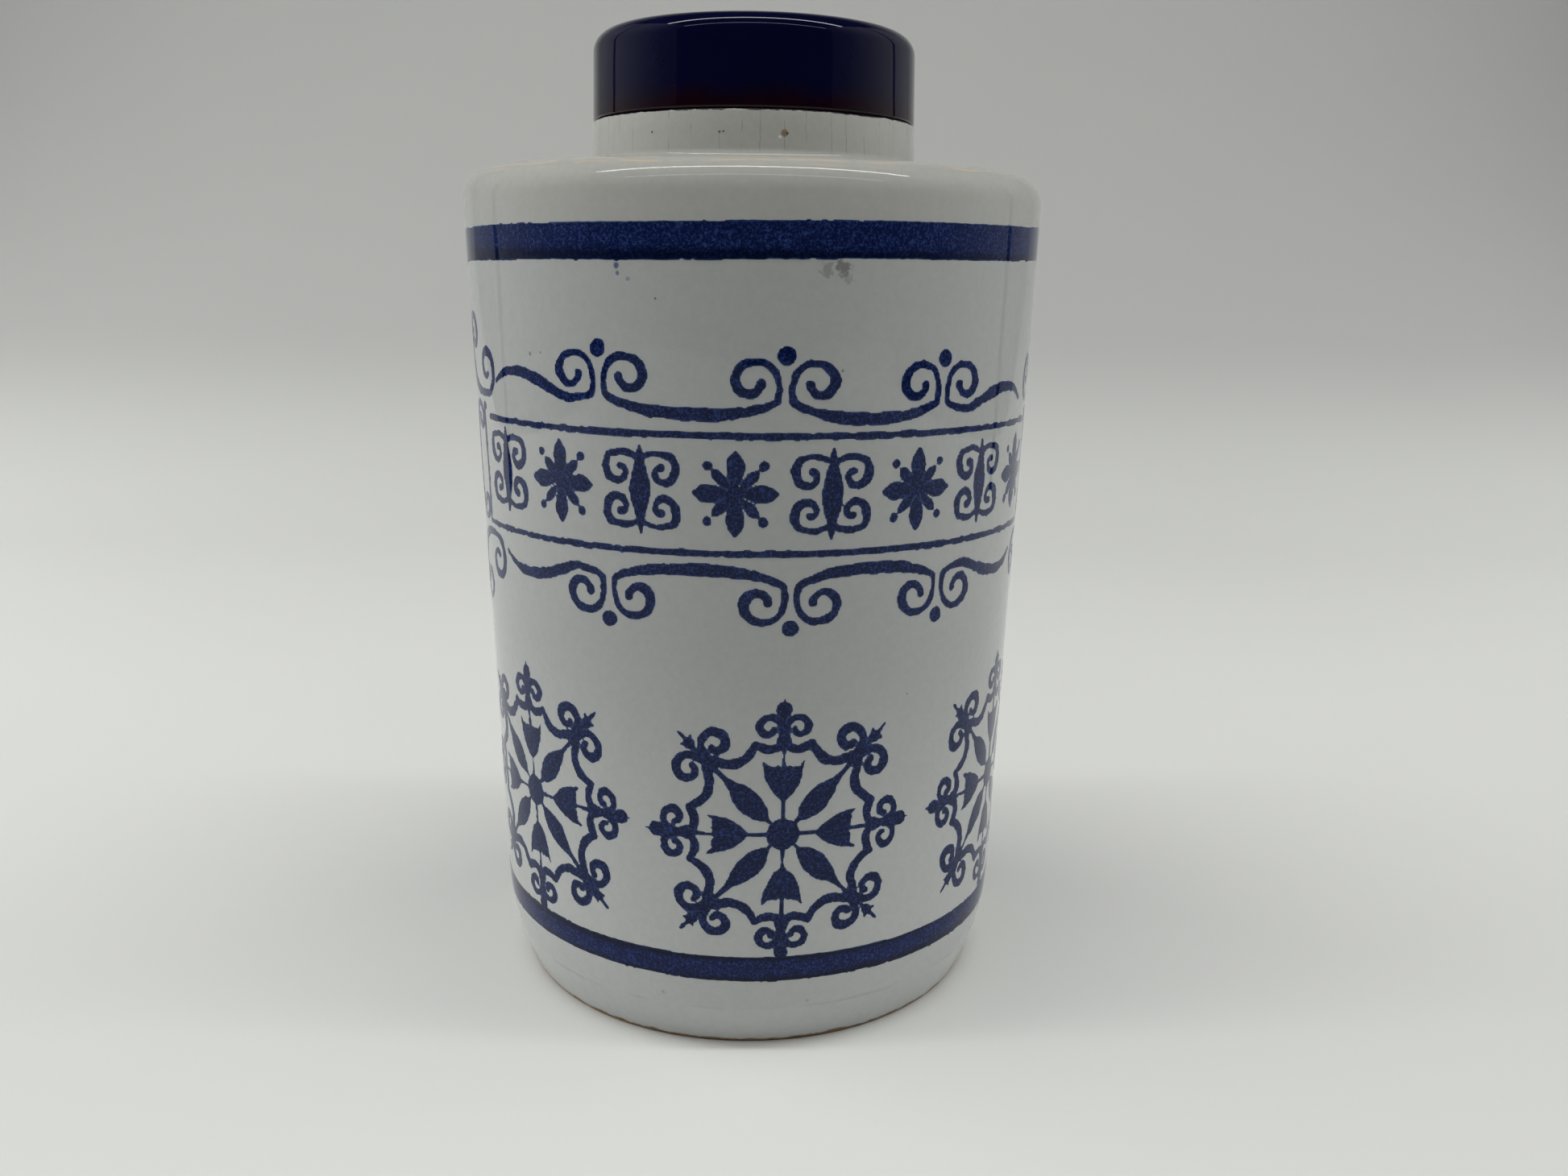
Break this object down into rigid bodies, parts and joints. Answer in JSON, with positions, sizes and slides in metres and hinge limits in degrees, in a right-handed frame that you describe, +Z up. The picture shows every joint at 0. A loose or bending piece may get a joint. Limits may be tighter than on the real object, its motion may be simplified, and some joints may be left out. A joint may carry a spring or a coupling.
{
  "type": "apothecary jar",
  "caption": "Glazed ceramic apothecary jar: tapered cylindrical body, rounded shoulder, short wide neck and a flush lift-off lid with a moulded stopper.",
  "frame": {"origin": "centre of the foot ring on the surface that the jar stands on", "axes": "+Z up along the axis of the jar, towards the lid; -Y is the front, with the framed panel"},
  "size_m": [0.0656, 0.0656, 0.1094],
  "materials": {
    "white_glaze": "glossy off-white glaze over stoneware, blue underglaze print",
    "cobalt_glaze": "glossy dark cobalt glaze",
    "stopper_plastic": "milky moulded polyethylene"
  },
  "bodies": {
    "jar": {"jar_body": "white_glaze"},
    "lid": {"lid_cap": "cobalt_glaze", "stopper_insert": "stopper_plastic"}
  },
  "joints": [
    {"name": "lid_lift", "type": "slide", "parent": "jar", "child": "lid", "axis": [0, 0, 1], "range_m": [0, 0.04]}
  ]
}
